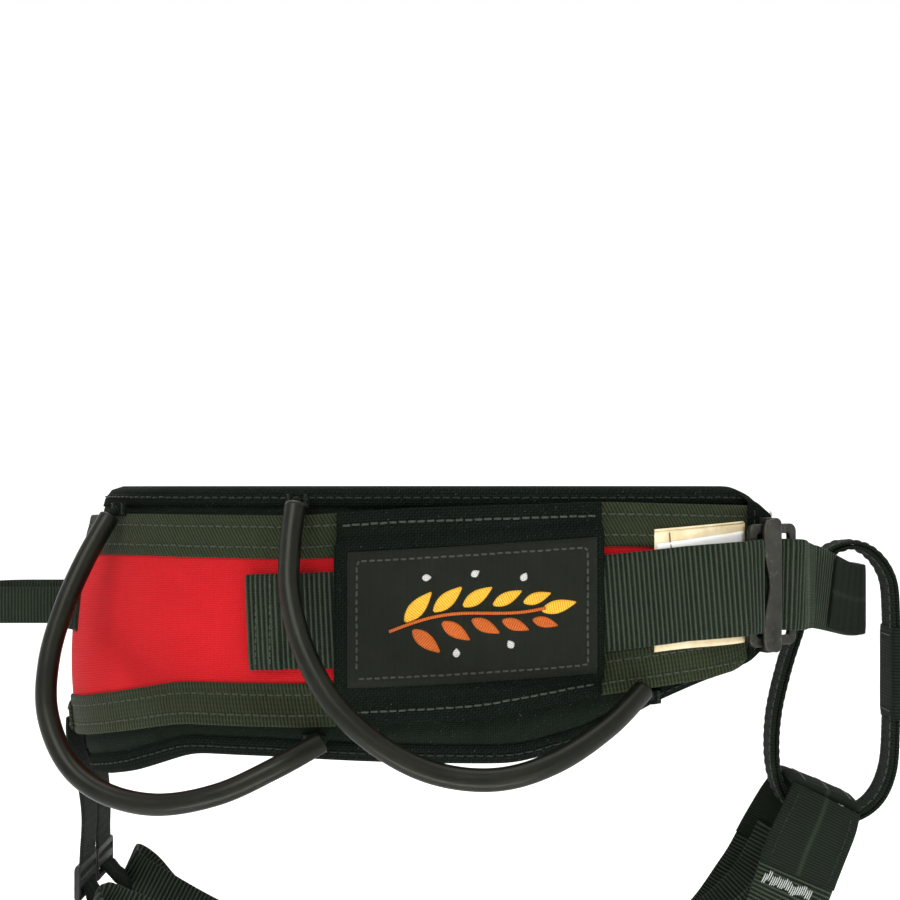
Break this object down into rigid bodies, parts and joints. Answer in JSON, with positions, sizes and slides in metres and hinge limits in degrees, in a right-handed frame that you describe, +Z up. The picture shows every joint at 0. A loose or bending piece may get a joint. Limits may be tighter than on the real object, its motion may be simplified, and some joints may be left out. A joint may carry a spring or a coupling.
{
  "type": "climbing saddle",
  "caption": "Padded climbing saddle: waist belt with friction buckles and tubed gear loops, sewn belay loop, and leg loops hung on elastic risers.",
  "frame": {"origin": "centre of the waist opening, 50 mm below the belt's top edge", "axes": "+X is the wearer's front, -Y the wearer's right, +Z up"},
  "size_m": [0.4452, 0.2864, 0.3245],
  "materials": {
    "pad_cloth": "matte black spacer and ripstop cloth over foam",
    "core_cloth": "dark olive woven core",
    "red_cloth": "matte red ripstop cloth",
    "olive_tape": "dark olive twill tape, stitched",
    "black_tape": "black binding and cloth",
    "webbing": "dark ribbed polyester webbing",
    "loop_webbing": "heavy woven loop webbing with bar tacks",
    "patch_cloth": "charcoal satin stitch embroidered badge",
    "label": "cream coated label cloth, unprinted",
    "tube": "dark moulded tube with a satin shine",
    "buckle": "dark grey satin plated steel",
    "moulded": "black moulded plastic",
    "elastic": "black woven elastic"
  },
  "bodies": {
    "belt": {"waist_pad": "pad_cloth", "waist_core": "core_cloth", "face_panel": "red_cloth", "upper_tape": "olive_tape", "lower_tape": "olive_tape", "right_pad_end": "black_tape", "left_pad_end": "black_tape", "right_sleeve": "black_tape", "left_sleeve": "black_tape", "right_patch": "patch_cloth", "left_patch": "patch_cloth", "instruction_tag": "label", "waist_strap": "webbing", "tie_in_sleeve": "loop_webbing", "right_buckle_frame": "buckle", "left_buckle_frame": "buckle", "right_buckle_anchor": "webbing", "left_buckle_anchor": "webbing", "haul_loop_tab": "black_tape", "right_gear_loop_ends": "black_tape", "left_gear_loop_ends": "black_tape", "right_riser": "elastic", "left_riser": "elastic", "riser_tab": "black_tape", "leg_bridge": "webbing"},
    "belay": {"belay_loop": "loop_webbing", "belay_loop_cover": "black_tape"},
    "haul": {"haul_loop": "loop_webbing"},
    "right_leg": {"right_leg_strap": "webbing", "right_leg_pad": "pad_cloth", "right_leg_face": "red_cloth", "right_leg_tail": "webbing", "right_leg_buckle_frame": "buckle", "right_riser_slide": "moulded"},
    "right_leg_slider": {"right_leg_buckle_slider": "buckle"},
    "right_leg_keeper": {"right_leg_keeper": "elastic"},
    "right_slider": {"right_buckle_slider": "buckle"},
    "right_tail": {"right_strap_tail": "webbing"},
    "right_front_gear": {"right_front_gear_loop": "tube"},
    "right_rear_gear": {"right_rear_gear_loop": "tube"},
    "left_leg": {"left_leg_strap": "webbing", "left_leg_pad": "pad_cloth", "left_leg_face": "red_cloth", "left_leg_tail": "webbing", "left_leg_buckle_frame": "buckle", "left_riser_slide": "moulded"},
    "left_leg_slider": {"left_leg_buckle_slider": "buckle"},
    "left_leg_keeper": {"left_leg_keeper": "elastic"},
    "left_slider": {"left_buckle_slider": "buckle"},
    "left_tail": {"left_strap_tail": "webbing"},
    "left_front_gear": {"left_front_gear_loop": "tube"},
    "left_rear_gear": {"left_rear_gear_loop": "tube"}
  },
  "joints": [
    {"name": "belay_loop_swing", "type": "hinge", "parent": "belt", "child": "belay", "pos_m": [0.193, 0, 0.016], "axis": [0, 1, 0], "range_deg": [-1, 1.8]},
    {"name": "haul_loop_swing", "type": "hinge", "parent": "belt", "child": "haul", "pos_m": [-0.1803, 0, -0.004], "axis": [0, 1, 0], "range_deg": [-30, 30], "stiffness_Nm_per_rad": 0.02},
    {"name": "right_leg_swing", "type": "hinge", "parent": "belt", "child": "right_leg", "pos_m": [0.1765, 0, -0.093], "axis": [0, 1, 0], "range_deg": [-12, 4], "stiffness_Nm_per_rad": 4, "deforming": ["right_riser"]},
    {"name": "right_front_gear_loop_swing", "type": "hinge", "parent": "belt", "child": "right_front_gear", "pos_m": [-0.0605, -0.102, 0.0435], "axis": [-0.8824, 0.0065, 0.4704], "range_deg": [0, 45]},
    {"name": "right_rear_gear_loop_swing", "type": "hinge", "parent": "belt", "child": "right_rear_gear", "pos_m": [-0.1445, -0.0635, 0.038], "axis": [-0.7009, 0.3041, 0.6452], "range_deg": [0, 30]},
    {"name": "right_buckle_slide", "type": "slide", "parent": "belt", "child": "right_slider", "axis": [0.8259, 0.5639, 0], "range_m": [0, 0.003]},
    {"name": "right_strap_tail_slide", "type": "hinge", "parent": "belt", "child": "right_tail", "pos_m": [0.01298, 0.19939, 0], "axis": [0, 0, 1], "range_deg": [-1.5, 1.5]},
    {"name": "left_leg_swing", "type": "hinge", "parent": "belt", "child": "left_leg", "pos_m": [0.1765, 0, -0.093], "axis": [0, 1, 0], "range_deg": [-12, 4], "stiffness_Nm_per_rad": 4, "deforming": ["left_riser"]},
    {"name": "left_front_gear_loop_swing", "type": "hinge", "parent": "belt", "child": "left_front_gear", "pos_m": [-0.0605, 0.102, 0.0435], "axis": [0.8824, 0.0065, -0.4704], "range_deg": [0, 45]},
    {"name": "left_rear_gear_loop_swing", "type": "hinge", "parent": "belt", "child": "left_rear_gear", "pos_m": [-0.1445, 0.0635, 0.038], "axis": [0.7009, 0.3041, -0.6452], "range_deg": [0, 30]},
    {"name": "left_buckle_slide", "type": "slide", "parent": "belt", "child": "left_slider", "axis": [0.8259, -0.5639, 0], "range_m": [0, 0.003]},
    {"name": "left_strap_tail_slide", "type": "hinge", "parent": "belt", "child": "left_tail", "pos_m": [0.01298, -0.19939, 0], "axis": [0, 0, -1], "range_deg": [-1.5, 1.5]},
    {"name": "right_leg_buckle_slide", "type": "slide", "parent": "right_leg", "child": "right_leg_slider", "axis": [-0.5658, -0.573, -0.5929], "range_m": [0, 0.0025]},
    {"name": "right_leg_keeper_slide", "type": "slide", "parent": "right_leg", "child": "right_leg_keeper", "axis": [-0.9938, 0.0126, 0.1107], "range_m": [-0.006, 0.006]},
    {"name": "left_leg_buckle_slide", "type": "slide", "parent": "left_leg", "child": "left_leg_slider", "axis": [-0.5658, 0.573, -0.5929], "range_m": [0, 0.0025]},
    {"name": "left_leg_keeper_slide", "type": "slide", "parent": "left_leg", "child": "left_leg_keeper", "axis": [-0.9938, -0.0126, 0.1107], "range_m": [-0.006, 0.006]}
  ]
}
